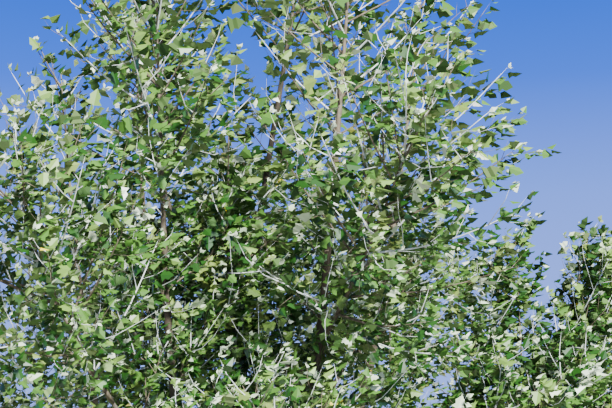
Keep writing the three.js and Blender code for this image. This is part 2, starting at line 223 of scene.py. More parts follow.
WIND = np.array([1.0, 0.12, 0.03])
SPREADING = 0.75  # how far a leaf keeps to its own direction in the wind
BLOWN = (0.72, 0.25, 1500)  # the wind's share, and its change over a width
DROOP = 0.12
FLUTTER = 0.32
LEAN = 0.45  # how far the upper sides turn out of the crown
ROLL_SPREAD = 0.6  # radians
TURNED_OVER = 0.05  # share of the leaves
CLEAR_AT = 0.6  # share of a leaf's length that stands clear of the limbs

# The spread of the tints is partly the leaves' own greens and partly painted light and shade: the deep tint
# and the darker undersides are darkened to stand for shade inside the crown, and the lighter tints are
# brightened partly to stand for sunlit leaves and light shining through them.
# name: upper and lower colour, upper roughness, share of the sprays low in the crown and high in it
TINTS = {
    "deep": ((0.012, 0.058, 0.006), (0.034, 0.078, 0.018), 0.34, (0.43, 0.24)),
    "mid": ((0.062, 0.155, 0.021), (0.080, 0.148, 0.040), 0.36, (0.32, 0.32)),
    "light": ((0.142, 0.248, 0.046), (0.158, 0.240, 0.082), 0.38, (0.13, 0.23)),
    "olive": ((0.160, 0.230, 0.046), (0.172, 0.232, 0.082), 0.42, (0.08, 0.14)),
    "pale": ((0.175, 0.285, 0.065), (0.450, 0.530, 0.360), 0.50, (0.03, 0.06)),
    "young": ((0.460, 0.550, 0.360), (0.600, 0.690, 0.520), 0.75, (0.01, 0.01)),
    "yellow": ((0.700, 0.560, 0.020), (0.620, 0.560, 0.150), 0.50, (0.0, 0.0)),
}
# darker tints are dealt more often low in the crown and lighter ones aloft: painted shade below, painted
# light above
LOW_TINTS, HIGH_TINTS = 2600.0, 4300.0
YOUNG_TINT = (0.55, 0.8)  # how young, and the share of those that wear the young tint
YELLOW_SHARE = 0.001  # of the leaves
UPPER_SPECULAR, UNDER_ROUGHNESS, UNDER_SPECULAR = 0.5, 0.8, 0.2
PIECE_LIMIT = 185000  # triangles

# Bark
TRUNK_RINGS = ((0, 300, 16), (330, FORK_HEIGHT, 34))  # heights and numbers, closer at the foot
TRUNK_SIDES = 40
BOUGH_SIDES = 16
LIMB_CONES = 14  # of the trunk, to measure from
COLLAR = 0.45  # how much thicker a limb is where it leaves its parent
COLLAR_FADE = 1.5  # in its own radii
COLLAR_INSIDE = 0.8  # share of its parent's radius that hides a bough's start
VOXEL = 0.0095  # metres
SMOOTHING = (0.5, 3)  # factor and rounds
KEPT_FACES = 0.5
FOOT = 0.85  # metres; the mesh is twice as fine below
FOOT_EDGE = 0.007  # metres; no shorter edge is cut
OLD_BARK = (700, 0.8)  # height over which the furrows fade, and its curve
FURROW_DEPTHS = (2.5, 5.0)  # how far ridges rise, and how far furrows lie below them
FURROWS = ((26, 26, 150), 2.2, 3)  # lattice, steepness and seed
FINE_FURROWS = ((13, 13, 60), 2.4, 4)
FINE_SHARE = 0.5
SWELLINGS = (((70, 70, 120), 1.6, 5), ((24, 24, 34), 0.8, 6))  # lattice, height and seed
CALM_ABOVE = 1500  # where boughs swell less, and
CALM = 0.45  # how much
LEVEL_FOOT = 20  # the relief sets in over this height, and the cut stays flat

BARK_SPECULAR = 0.25
BARK = ((0.4, 0.38, 0.3), 0.85, BARK_SPECULAR)  # without its nodes
# noise: scale, stretch, detail and roughness
BROAD_NOISE = (3.0, (1, 1, 0.5), 3.0)
FINE_NOISE = (60.0, (1, 1, 0.35), 5.0, 0.65)
FURROW_NOISE = (26.0, (1, 1, 0.16), 4.0, 0.6)
TWIG_NOISE = (45.0, (1, 1, 0.4), 3.0)
# bark colours as stops of a ramp; the heights are in metres
SMOOTH_BARK = [(0.3, (0.13, 0.115, 0.085)), (0.5, (0.22, 0.20, 0.155)), (0.72, (0.32, 0.30, 0.24))]
# aloft the bark is brown young bark, darkened further as painted shade for the boughs inside the crown
YOUNG_AND_SHADED_BARK = [(0.35, (0.040, 0.031, 0.020)), (0.65, (0.090, 0.073, 0.050))]
ROUGH_BARK = [(0.36, (0.018, 0.014, 0.010)), (0.5, (0.065, 0.053, 0.038)), (0.66, (0.15, 0.13, 0.095))]
SPECKLE = [(0.3, (0.72, 0.72, 0.72)), (0.7, (1.12, 1.12, 1.12))]
SPECKLE_SHARE = 0.8
MARK_COLOUR = (0.055, 0.042, 0.03, 1)
NO_DEPTH = (0, 0, 0, 1)
# heights over which the bark turns to the darker brown above: young bark and painted shade
YOUNG_AND_SHADED_FROM = (1.3, 2.7)
ROUGH_BELOW = (0.25, 0.8)
ROUGH_EDGE = (0.9, -0.45)  # of the broad noise that moves its edge: factor and offset
MARK_SCALE, MARK_STRETCH = 19.0, (1, 1, 0.75)
MARK_REACH = (0.02, 0.34)
MARK_EDGE = 0.06
BARK_ROUGHNESS = (0.7, 0.98)
BARK_RELIEF = (0.7, 0.004)
FINE_IN_FURROWS = 0.3
# twigs: lower and upper colour, and roughness
FELT = ((0.50, 0.53, 0.50), (0.74, 0.77, 0.74), 0.9)
BROWN = ((0.085, 0.065, 0.042), (0.20, 0.165, 0.115), 0.75)
TWIG_STOPS = (0.32, 0.68)
TWIG_RELIEF = (0.4, 0.001)

# Stage, in metres
FLOOR_SIZE = 400
FLOOR = ((0.34, 0.34, 0.33), 0.9, 0.2)  # colour, roughness and specular level
# the world by height: the photograph's sky up to the picture's edge, and a warm grey above it, so that
# together they light the floor nearly neutral
WORLD = [
    (0.0, (0.50, 0.72, 1.60)),
    (0.14, (0.42, 0.64, 1.60)),
    (0.25, (0.25, 0.48, 1.60)),
    (0.33, (0.06, 0.25, 1.35)),
    (0.39, (0.02, 0.18, 1.20)),
    (0.43, (0.34, 0.31, 0.19)),
]
WORLD_STRENGTH = 0.98
KEY_PLACE, KEY_TARGET = (3.5, -9.0, 8.3), (0, 0, 2.5)
KEY_POWER, KEY_COLOUR, KEY_WIDTH = 16.6, (0.96, 0.98, 0.96), 0.12
SENSOR_WIDTH, LENS = 36, 82.0
CAMERA_PLACE, CAMERA_TILT = (0.43, -7.7, 1.6), 14.28


# The source's rule
def unit(v):
    return v / np.linalg.norm(v)


def rows_unit(rows):
    return rows / np.linalg.norm(rows, axis=1, keepdims=True)


def polar(azimuth, reach, height):
    a = math.radians(azimuth)
    return np.array([reach * math.cos(a), reach * math.sin(a), height])


def heading(azimuth, lean):
    """The direction that points out along an azimuth, lean degrees from upright."""
    a = math.radians(lean)
    return polar(azimuth, math.sin(a), math.cos(a))


def turned(v, axis, angle):
    """v turned about a unit axis, by the right-hand rule; the angle is in radians."""
    c, s = math.cos(angle), math.sin(angle)
    return v * c + np.cross(axis, v) * s + axis * (axis @ v) * (1 - c)


def branching(tangent, normal, turn, opened):
    """The direction opened degrees off a tangent, on the side turn degrees round from its normal."""
    opened = math.radians(opened)
    normal = turned(normal, tangent, math.radians(turn))
    return tangent * math.cos(opened) + normal * math.sin(opened)


def random_stream(seed):
    """The source's repeatable numbers from 0 to 1."""
    state = seed * 7919 + 12345

    def draw():
        nonlocal state
        state = (state * 1664525 + 1013904223) % 4294967296
        return state / 4294967296

    return draw


def square_to(tangent):
    reference = UP if abs(tangent[2]) < 0.9 else np.array([1.0, 0.0, 0.0])
    return unit(np.cross(tangent, reference))


class Path:
    """Points with a tangent and a normal at each, turning no more than the path does."""

    def __init__(self, points, tangents):
        self.points = np.array(points)
        self.tangents = np.array(tangents)
        normal = square_to(self.tangents[0])
        normals = []
        for tangent in self.tangents:
            normal = unit(normal - tangent * (normal @ tangent))
            normals.append(normal)
        self.normals = np.array(normals)

    def at(self, t):
        """Point, tangent and normal a share t of the way along the steps."""
        place = t * (len(self.points) - 1)
        i = min(int(place), len(self.points) - 2)
        f = place - i

        def between(rows):
            return rows[i] * (1 - f) + rows[i + 1] * f

        return between(self.points), unit(between(self.tangents)), unit(between(self.normals))

    def length(self):
        return float(np.linalg.norm(np.diff(self.points, axis=0), axis=1).sum())


def curved_path(start, leaving, end, arriving, steps):
    handle = np.linalg.norm(end - start) * HANDLE
    a, b, c, d = start, start + leaving * handle, end - arriving * handle, end
    t = np.linspace(0, 1, steps + 1)[:, None]
    points = a * (1 - t) ** 3 + 3 * b * t * (1 - t) ** 2 + 3 * c * t * t * (1 - t) + d * t**3
    slopes = (b - a) * (1 - t) ** 2 + 2 * (c - b) * t * (1 - t) + (d - c) * t * t
    return Path(points, rows_unit(slopes))


def rising_path(start, direction, length, steps, lift):
    points, tangents = [np.array(start)], [unit(direction)]
    for _ in range(steps):
        points.append(points[-1] + tangents[-1] * length / steps)
        tangents.append(unit(tangents[-1] + UP * lift / steps))
    return Path(points, tangents)


def trunk_axis(height):
    t = height / FORK_HEIGHT
    bend = math.sin(math.pi * t)
    x, y = TRUNK_LEAN[0] * t * t + TRUNK_BEND[0] * bend, TRUNK_LEAN[1] * t + TRUNK_BEND[1] * bend
    return np.array([x, y, height])


def trunk_radius(height):
    """Without the flare at the foot."""
    lowest = min(fork for _, _, fork, _, _ in LEADERS)
    f = min(max((height - lowest) / (FORK_HEIGHT - lowest), 0), 1)
    forked = f * f * (3 - 2 * f)
    below = TRUNK_RADIUS * (1 + TRUNK_TAPER - TRUNK_TAPER * height / lowest)
    return below + (TRUNK_TOP_RADIUS - below) * forked


def foot_radius(height):
    return trunk_radius(height) + FLARE * math.exp(-height / FLARE_FADE)


class Bough:
    def __init__(self, name, kind, azimuth, make_path, steps, base, tip, parent):
        self.name, self.kind, self.azimuth, self.parent = name, kind, azimuth, parent
        self.path = make_path(steps)
        self.fine = make_path(steps * FINE_STEPS)
        self.base, self.tip = base, tip


def make_leaders():
    """The centre leader, and then the outer ones."""
    name, azimuth, reach, height = CENTRE
    start = trunk_axis(FORK_HEIGHT) + UP * GAP
    end = polar(azimuth, reach, height)

    def centre_path(steps, arriving=heading(azimuth, TIP_LEAN)):
        return curved_path(start, UP, end, arriving, steps)

    radii = (TRUNK_TOP_RADIUS, LEADER_RADII[1])
    leaders = [Bough(name, "top", azimuth, centre_path, LEADER_STEPS, *radii, None)]
    for name, azimuth, fork, reach, height in LEADERS:

        def leader_path(steps, azimuth=azimuth, fork=fork, end=polar(azimuth, reach, height)):
            leaving, arriving = heading(azimuth, DEPARTURE), heading(azimuth, TIP_LEAN)
            return curved_path(trunk_axis(fork), leaving, end, arriving, steps)

        leaders.append(Bough(name, "leader", azimuth, leader_path, LEADER_STEPS, *LEADER_RADII, "trunk"))
    return leaders


def side_boughs_of(leader):
    """Name, share of the leader below it, azimuth, reach, height, rise and kind of each."""
    if leader.kind == "top":
        return [(*bough, "inner") for bough in CENTRE_BOUGHS]
    share = leader.path.points[-1][2] / FULL_HEIGHT
    rows = []
    for name, from_share, turn, reach, height, rise in SIDE_BOUGHS:
        shape = OWN_SHAPES.get((leader.name, name), (from_share, reach, height * share, rise))
        rows.append((name, shape[0], leader.azimuth + turn, *shape[1:], name))
    return rows


def make_boughs():
    """The leaders and then their side boughs, in the source's order."""
    leaders, sides = make_leaders(), []
    for leader in leaders:
        for name, from_share, azimuth, reach, height, rise, kind in side_boughs_of(leader):
            point, tangent, _ = leader.path.at(from_share)
            leaving = unit(tangent + heading(azimuth, 90))
            way = (point, leaving, polar(azimuth, reach, height), heading(azimuth, 90 - rise))

            def side_path(steps, way=way):
                return curved_path(*way, steps)

            there = leader.base + (leader.tip - leader.base) * from_share
            radii = (there * SIDE_RADIUS_SHARE, SIDE_TIP_RADIUS)
            full_name = f"{leader.name}_{name}"
            sides.append(Bough(full_name, kind, azimuth, side_path, SIDE_STEPS, *radii, leader.name))
    return leaders + sides


class Space:
    """The ellipsoid that a mass keeps to, less what lies nearer to another mass."""

    def __init__(self, bough, seed):
        stem, self.along, self.across, self.shoots = FOLIAGE[bough.kind]
        self.bough, self.seed = bough, seed
        direction = bough.path.tangents[-1]
        root = bough.path.points[-1] + direction * GAP
        self.path = rising_path(root, direction, stem, STEM_STEPS, STEM_LIFT)
        end = self.path.points[-1]
        self.centre = root + (end - root) * SPACE_CENTRE
        self.axis = unit(end - root)

    def part_from(self, spaces):
        """Planes between this space and the others; normal . point < offset inside."""
        others = [s for s in spaces if s is not self]
        between = np.array([s.centre - self.centre for s in others])
        distance = np.linalg.norm(between, axis=1)
        across = np.array([s.across for s in others])
        share = 0.5 + (self.across**2 - across**2) / (2 * distance**2)
        self.normals = between / distance[:, None]
        self.offsets = ((self.centre + between * share[:, None]) * self.normals).sum(1)

    def holds(self, points):
        off = points - self.centre
        lengthwise = off @ self.axis
        sideways = np.sqrt(np.maximum(0, (off**2).sum(1) - lengthwise**2))
        inside = (lengthwise / self.along) ** 2 + (sideways / self.across) ** 2 <= 1
        return inside & (self.offsets - points @ self.normals.T > SPACE_MARGIN).all(1)

    def room_ahead(self, point, direction, step):
        ahead = point + np.arange(1, LOOKS + 1)[:, None] * step * direction
        held = self.holds(ahead)
        return step * (len(held) if held.all() else int(np.argmin(held)))


def source_shoot(space, k, count, draw):
    """Start, direction and length of a stem's k-th shoot, as the source grows it."""
    share = (k + OFF_STEP[0] + OFF_STEP[1] * draw()) / count
    start = FIRST_SHOOT + (1 - FIRST_SHOOT) * share
    point, tangent, normal = space.path.at(start)
    turn = k * GOLDEN_ANGLE + space.seed * TURN_PER_MASS + TURN_SPREAD * (draw() - 0.5)
    wide, narrow = OPEN_ANGLES
    opened = wide + (narrow - wide) * start + OPEN_SPREAD * (draw() - 0.5)
    direction = branching(tangent, normal, turn, opened)
    low, high = SHOOT_REACH
    reach = low + (high - low) * draw()
    return point, direction, space.room_ahead(point, direction, SHOOT_LOOK) * reach


# Meshes from arrays
def in_scene(name, data):
    made = bpy.data.objects.new(name, data)
    bpy.context.scene.collection.objects.link(made)
    return made


def mesh_object(name, vertices, triangles, materials, material_index=None, smooth=False):
    """An object from arrays: vertices in millimetres, triangles as rows of three."""
    mesh = bpy.data.meshes.new(name)
    triangles = np.ascontiguousarray(triangles, np.int32)
    mesh.vertices.add(len(vertices))
    mesh.vertices.foreach_set("co", (np.asarray(vertices) * MM).astype(np.float32).ravel())
    mesh.loops.add(triangles.size)
    mesh.loops.foreach_set("vertex_index", triangles.ravel())
    mesh.polygons.add(len(triangles))
    mesh.polygons.foreach_set("loop_start", np.arange(0, triangles.size, 3, dtype=np.int32))
    if material_index is not None:
        mesh.polygons.foreach_set("material_index", np.ascontiguousarray(material_index, np.int32))
    mesh.polygons.foreach_set("use_smooth", np.full(len(triangles), smooth))
    for material in materials:
        mesh.materials.append(material)
    mesh.update(calc_edges=True)
    return in_scene(name, mesh)


def joined(parts):
    """Several (vertices, triangles) as one."""
    vertices, triangles, start = [], [], 0
    for v, t in parts:
        vertices.append(v)
        triangles.append(t + start)
        start += len(v)
    return np.concatenate(vertices), np.concatenate(triangles)


def rings_round(points, tangents, normals, radii, sides):
    """A ring of vertices round each point; radii is for each ring, or for each vertex."""
    angle = np.arange(sides) * (2 * math.pi / sides)
    across = np.cross(normals, tangents)
    ring = normals[:, None] * np.cos(angle)[:, None] + across[:, None] * np.sin(angle)[:, None]
    return points[:, None] + ring * np.asarray(radii).reshape(len(points), -1)[:, :, None]


def walls(rings, sides):
    """Triangles between each ring and the next."""
    i = np.arange(rings - 1)[:, None] * sides
    j = np.arange(sides)
    k = (j + 1) % sides
    a, b, c, d = ((i + to).ravel() for to in (j, k, sides + k, sides + j))
    return np.concatenate([np.stack([a, c, b], 1), np.stack([a, d, c], 1)])


def fan(centre, first, sides, outwards):
    """Triangles between a centre and the ring that starts at first."""
    j, k = np.arange(sides) + first, (np.arange(sides) + 1) % sides + first
    return np.stack([np.full(sides, centre), *((k, j) if outwards else (j, k))], 1)


def tube(points, tangents, normals, radii, sides):
    """A closed tube: vertices ring by ring, then a centre for each end."""
    rings = len(points)
    body = rings_round(points, tangents, normals, radii, sides)
    foot = fan(rings * sides, 0, sides, False)
    top = fan(rings * sides + 1, (rings - 1) * sides, sides, True)
    vertices = np.concatenate([body.reshape(-1, 3), points[[0, -1]]])
    return vertices, np.concatenate([walls(rings, sides), foot, top])


def spike(path, base, tip, sides):
    """A tube that ends in a point and starts open, inside the limb that it grows from."""
    rings = len(path.points) - 1
    radii = np.linspace(base, tip, rings)
    body = rings_round(path.points[:-1], path.tangents[:-1], path.normals[:-1], radii, sides)
    point = fan(rings * sides, (rings - 1) * sides, sides, True)
    vertices = np.concatenate([body.reshape(-1, 3), path.points[-1:]])
    return vertices, np.concatenate([walls(rings, sides), point])


def smooth_path(path, each):
    """The same path with each step cut into pieces on a curve through its points."""
    p = path.points
    slopes = np.gradient(p, axis=0)
    slopes[0] = path.tangents[0] * np.linalg.norm(p[1] - p[0])
    t = np.linspace(0, 1, each, endpoint=False)[:, None]
    rows = []
    for i in range(len(p) - 1):
        h0, h1 = 2 * t**3 - 3 * t**2 + 1, -2 * t**3 + 3 * t**2
        h2, h3 = t**3 - 2 * t**2 + t, t**3 - t**2
        rows.append(h0 * p[i] + h1 * p[i + 1] + h2 * slopes[i] + h3 * slopes[i + 1])
    points = np.concatenate([*rows, p[-1:]])
    return Path(points, rows_unit(np.gradient(points, axis=0)))


# Materials
def principled(name, colour, roughness, specular):
    """A plain material, and its shader for links."""
    material = bpy.data.materials.new(name)
    material.use_nodes = True
    shader = material.node_tree.nodes["Principled BSDF"]
    shader.inputs["Base Color"].default_value = (*colour, 1)
    shader.inputs["Roughness"].default_value = roughness
    shader.inputs["Specular IOR Level"].default_value = specular
    return material, shader


def add_node(tree, kind, inputs=(), **settings):
    """A shader node; its inputs are pairs of a name or number, and a value or output."""
    made = tree.nodes.new("ShaderNode" + kind)
    for name, value in settings.items():
        setattr(made, name, value)
    for name, value in inputs:
        if isinstance(value, bpy.types.NodeSocket):
            tree.links.new(value, made.inputs[name])
        else:
            made.inputs[name].default_value = value
    return made


def noise_at(tree, scale, stretch, detail, roughness=0.55):
    """Noise in metres, drawn out along Z."""
    place = add_node(tree, "TexCoord")
    wider = add_node(tree, "Mapping", [("Vector", place.outputs["Object"]), ("Scale", stretch)])
    rows = [("Vector", wider.outputs[0]), ("Scale", scale), ("Detail", detail), ("Roughness", roughness)]
    return add_node(tree, "TexNoise", rows).outputs["Fac"]


def ramp(tree, value, stops):
    made = add_node(tree, "ValToRGB", [("Fac", value)])
    elements = made.color_ramp.elements
    while len(elements) < len(stops):
        elements.new(0.5)
    for element, (position, colour) in zip(elements, stops):
        element.position = position
        element.color = (*colour, 1)
    return made.outputs["Color"]


def mix(tree, amount, a, b, how="MIX"):
    rows = [(0, amount), (6, a), (7, b)]
    return add_node(tree, "Mix", rows, data_type="RGBA", blend_type=how).outputs[2]


def spread(tree, value, start=(0.0, 1.0), end=(0.0, 1.0)):
    """A value carried from one range to another, and held inside it."""
    return add_node(tree, "MapRange", enumerate((value, *start, *end))).outputs[0]


def sums(tree, how, *values):
    return add_node(tree, "Math", enumerate(values), operation=how).outputs[0]


def bump(tree, height, relief, shader):
    """Relief is its strength, and its depth in metres."""
    rows = [("Height", height), ("Strength", relief[0]), ("Distance", relief[1])]
    tree.links.new(add_node(tree, "Bump", rows).outputs[0], shader.inputs["Normal"])


def diamonds(tree, place):
    """Where the bark's diamond marks are: 1 inside, 0 outside."""
    flat = add_node(tree, "Mapping", [("Vector", place), ("Scale", MARK_STRETCH)]).outputs[0]
    rows = [("Vector", flat), ("Scale", MARK_SCALE)]
    cells = add_node(tree, "TexVoronoi", rows, distance="MANHATTAN")
    size = add_node(tree, "SeparateColor", [(0, cells.outputs["Color"])]).outputs[0]
    edge = sums(tree, "SUBTRACT", spread(tree, size, end=MARK_REACH), cells.outputs["Distance"])
    return spread(tree, edge, (0.0, MARK_EDGE))


def bark_material():
    """Smooth pale bark with dark diamond marks, brown aloft where young bark is darkened further with painted
    shade, rough and dark at the foot.
    """
    material, shader = principled("bark", *BARK)
    tree = material.node_tree
    link = tree.links.new
    place = add_node(tree, "TexCoord").outputs["Object"]
    height = add_node(tree, "SeparateXYZ", [(0, place)]).outputs["Z"]
    broad = noise_at(tree, *BROAD_NOISE)
    fine = noise_at(tree, *FINE_NOISE)
    furrows = noise_at(tree, *FURROW_NOISE)
    wavy = sums(tree, "MULTIPLY_ADD", broad, *ROUGH_EDGE)
    up = spread(tree, sums(tree, "ADD", height, wavy), ROUGH_BELOW)
    mark = diamonds(tree, place)

    smooth, young = ramp(tree, broad, SMOOTH_BARK), ramp(tree, broad, YOUNG_AND_SHADED_BARK)
    # upwards the bark darkens to brown: partly young bark, partly painted shade
    smooth = mix(tree, spread(tree, height, YOUNG_AND_SHADED_FROM), smooth, young)
    colour = mix(tree, up, ramp(tree, furrows, ROUGH_BARK), smooth)
    colour = mix(tree, SPECKLE_SHARE, colour, ramp(tree, fine, SPECKLE), "MULTIPLY")
    link(mix(tree, mark, colour, MARK_COLOUR), shader.inputs["Base Color"])
    link(spread(tree, fine, end=BARK_ROUGHNESS), shader.inputs["Roughness"])

    depth = mix(tree, up, mix(tree, FINE_IN_FURROWS, furrows, fine), fine)
    bump(tree, mix(tree, mark, depth, NO_DEPTH), BARK_RELIEF, shader)
    return material


def twig_material(name, low, high, roughness):
    """Bark of shoots and twigs, mottled along them."""
    material, shader = principled(name, high, roughness, BARK_SPECULAR)
    tree = material.node_tree
    mottled = noise_at(tree, *TWIG_NOISE)
    colour = ramp(tree, mottled, list(zip(TWIG_STOPS, (low, high))))
    tree.links.new(colour, shader.inputs["Base Color"])
    bump(tree, mottled, TWIG_RELIEF, shader)
    return material


# Clearances
class Limbs:
    """The trunk and boughs as a chain of cones, to measure from."""

    def __init__(self, boughs):
        rows = []
        heights = np.linspace(0, FORK_HEIGHT, LIMB_CONES + 1)
        for low, high in zip(heights[:-1], heights[1:]):
            rows.append((trunk_axis(low), trunk_axis(high), foot_radius(low), foot_radius(high)))
        for bough in boughs:
            points = bough.path.points
            radii = np.linspace(bough.base, bough.tip, len(points))
            rows += zip(points[:-1], points[1:], radii[:-1], radii[1:])
        self.start, end, self.low, self.high = (np.array(column) for column in zip(*rows))
        self.along = end - self.start
        self.length2 = (self.along**2).sum(1)

    def nearest(self, points, batch=4000):
        """Gap to the nearest limb, and the direction out of its axis."""
        gaps, outwards = np.empty(len(points)), np.empty((len(points), 3))
        for first in range(0, len(points), batch):
            some = slice(first, first + batch)
            off = points[some, None] - self.start
            t = np.clip((off * self.along).sum(2) / self.length2, 0, 1)
            out = off - self.along * t[:, :, None]
            reach = np.linalg.norm(out, axis=2)
            gap = reach - (self.low + (self.high - self.low) * t)
            best = gap.argmin(1)
            rows = np.arange(len(best))
            gaps[some] = gap[rows, best]
            outwards[some] = out[rows, best] / np.maximum(reach[rows, best], 1e-6)[:, None]
        return gaps, outwards

    def clear(self, points):
        """Which points stand clear of every limb."""
        return self.nearest(points)[0] > LIMB_CLEARANCE


def within_reach(points):
    """Which points are inside the solids' box, or little outside."""
    low, high = np.array([tuple(corner) for corner in CAD_BOX], float) / MM
    return ((points > low - PAST_BOX) & (points < high + PAST_BOX)).all(1)


# Shoots, twigs and where leaves stand
def blown_path(start, direction, length, steps, lift, rng):
    """A twig's path: it turns upright and a little downwind, and isn't quite straight."""
    points, tangents = [np.array(start)], [unit(direction)]
    for _ in range(steps):
        points.append(points[-1] + tangents[-1] * length / steps)
        bend = (UP * lift + WIND * TWIG_DRIFT) / steps
        tangents.append(unit(tangents[-1] + bend + rng.normal(0, TWIG_WAVER, 3)))
    return Path(points, tangents)


def place_between(first, last, k, count, rng):
    """The k-th of count places between two shares of a path, a little off its even one."""
    return first + (last - first) * (k + OFF_STEP[0] + OFF_STEP[1] * rng.random_sample()) / count


class Foliage:
    """All that grows on the stems: twigs as tubes, leaves as places to stand."""

    def __init__(self):
        self.brown, self.felted, self.sites, self.sprays = [], [], [], 0
        self.dropped = []  # sprays of twigs that would reach too far
        self.fullness = 1.0

    def leaves(self, path, first, spacing, rng, density=1.0):
        """Leaves up a path: root, tangent, normal, way left to the tip, spray."""
        length = path.length()
        count = int(length * (1 - first) * density / spacing + rng.random_sample())
        self.sprays += 1
        if count < 1:
            return
        offsets = np.arange(count) + 0.5 + OFF_STEP[1] * (rng.random_sample(count) - 0.5)
        share = first + (1 - first) * offsets / count
        turn = rng.uniform(0, 360)
        for i in range(count):
            point, tangent, normal = path.at(share[i])
            normal = turned(normal, tangent, math.radians(turn + i * GOLDEN_ANGLE))
            self.sites.append((*point, *tangent, *normal, (1 - share[i]) * length, self.sprays))

    def rosette(self, path, rng, count):
        """Small leaves round the very tip."""
        point, tangent, normal = path.at(1.0)
        turn = rng.uniform(0, 360)
        for i in range(count):
            out = turned(normal, tangent, math.radians(turn + i * GOLDEN_ANGLE))
            self.sites.append((*(point - tangent * ROSETTE_SETBACK), *tangent, *out, 0.0, self.sprays))


def grow_twigs(shoot, first, felted_share, room, foliage, rng, closer=1.0):
    """Side twigs up a shoot with their leaves: short leafy ones, and long pale ones further out."""
    density = foliage.fullness * float(np.interp(shoot.points[len(shoot.points) // 2][2], *THINNING))
    count = int(shoot.length() * (LAST_TWIG - first) * density * closer / TWIG_SPACING + 0.5)
    turn = rng.uniform(0, 360)
    for i in range(count):
        share = place_between(first, LAST_TWIG, i, count, rng)
        point, tangent, normal = shoot.at(share)
        opened = TWIG_ANGLE - TWIG_CLOSING * share + rng.uniform(-TWIG_ANGLE_SPREAD, TWIG_ANGLE_SPREAD)
        direction = branching(tangent, normal, turn + i * GOLDEN_ANGLE, opened)
        long = rng.random_sample() < LONG_SHARE * (LONG_AT_FOOT + share)
        (low, high), lift, spacing, thickness, steps, bare = LONG_TWIG if long else LEAFY_TWIG
        shorter = TWIG_SHORTENING[0] + (TWIG_SHORTENING[1] - TWIG_SHORTENING[0]) * share
        length = min((low + (high - low) * rng.random_sample()) * shorter, room(point, direction))
        if length < SHORTEST_TWIG:
            continue
        twig = blown_path(point, direction, length, steps, lift, rng)
        if not LIMBS.clear(twig.points[-1:]).all():
            continue
        felted = long or rng.random_sample() < felted_share
        foliage.leaves(twig, bare, spacing, rng, density)
        foliage.rosette(twig, rng, ROSETTES["twig"] if felted else 0)
        if within_reach(twig.points).all():
            thick = thickness * (TWIG_THICKNESS[0] + TWIG_THICKNESS[1] * length / high)
            target = foliage.felted if felted else foliage.brown
            target.append(spike(twig, thick, TWIG_TIP_RADIUS, TWIG_SIDES))
        else:
            foliage.dropped.append(foliage.sprays)


def grow_shoot(path, base, white, room, foliage, rng):
    """A shoot with its twigs, leaves and tip."""
    if path.length() < SHORTEST_SHOOT or not LIMBS.clear(path.points[1:]).all():
        return
    path = smooth_path(path, SHOOT_PIECES)
    least, more, length = SHOOT_THICKNESS
    thick = base * (least + more * min(path.length() / length, 1))
    (foliage.felted if white else foliage.brown).append(spike(path, thick, SHOOT_TIP_RADIUS, SHOOT_SIDES))
    grow_twigs(path, SHOOT_BARE[0], FELTED_SHARES["white" if white else "brown"], room, foliage, rng)
    foliage.leaves(path, SHOOT_BARE[1], LEAF_SPACING, rng)
    foliage.rosette(path, rng, ROSETTES["shoot"])


def grow_mass(space, foliage, rng):
    """A mass: its stem, the source's shoots, and finer ones by the same rule, every other one white."""
    draw, finer = random_stream(space.seed), random_stream(space.seed + MORE_SEED)

    def room(point, direction):
        return space.room_ahead(point, direction, TWIG_LOOK) * TWIG_REACH

    stem = smooth_path(space.path, STEM_PIECES)
    narrowing = np.linspace(1, 0, len(stem.points)) ** STEM_TAPER
    radii = STEM_TIP_RADIUS + (space.bough.tip - STEM_TIP_RADIUS) * narrowing
    foliage.brown.append(tube(stem.points, stem.tangents, stem.normals, radii, STEM_SIDES))
    for k in range(space.shoots):
        path = rising_path(*source_shoot(space, k, space.shoots, draw), SHOOT_STEPS, SHOOT_LIFT)
        grow_shoot(path, SHOOT_RADII[0], False, room, foliage, rng)
    more = space.shoots * MORE_SHOOTS
    for k in range(more):
        path = rising_path(*source_shoot(space, k, more, finer), SHOOT_STEPS, SHOOT_LIFT)
        grow_shoot(path, SHOOT_RADII[1], k % 2 == 0, room, foliage, rng)
    grow_twigs(stem, STEM_BARE[0], FELTED_SHARES["stem"], room, foliage, rng, STEM_TWIGS)
    foliage.leaves(stem, STEM_BARE[1], LEAF_SPACING, rng)
    foliage.rosette(stem, rng, ROSETTES["stem"])


def grow_on_bough(bough, seed, foliage, rng):
    """Shoots up the bough that carries a mass."""

    def room(point, direction):
        return BOUGH_TWIG_ROOM

    path = bough.fine
    count = int(path.length() * (1 - BOUGH_SHOOTS_FROM) * foliage.fullness / BOUGH_SHOOT_SPACING)
    for k in range(count):
        point, tangent, normal = path.at(place_between(BOUGH_SHOOTS_FROM, 1, k, count, rng))
        turn = k * GOLDEN_ANGLE + seed * TURN_PER_MASS
        direction = branching(tangent, normal, turn, rng.uniform(*BOUGH_SHOOT_ANGLES))
        shoot = rising_path(point, direction, rng.uniform(*BOUGH_SHOOT_LENGTHS), SHOOT_STEPS, SHOOT_LIFT)
        grow_shoot(shoot, BOUGH_SHOOT_RADIUS, False, room, foliage, rng)


def grow_foliage(spaces):
    foliage = Foliage()
    for space in spaces:
        rng = np.random.RandomState(MASS_SEED + space.seed)
        foliage.fullness = FULLNESS.get(space.bough.name, 1.0)
        grow_mass(space, foliage, rng)
        foliage.fullness = max(1.0, foliage.fullness)
        grow_on_bough(space.bough, space.seed, foliage, rng)
    return foliage


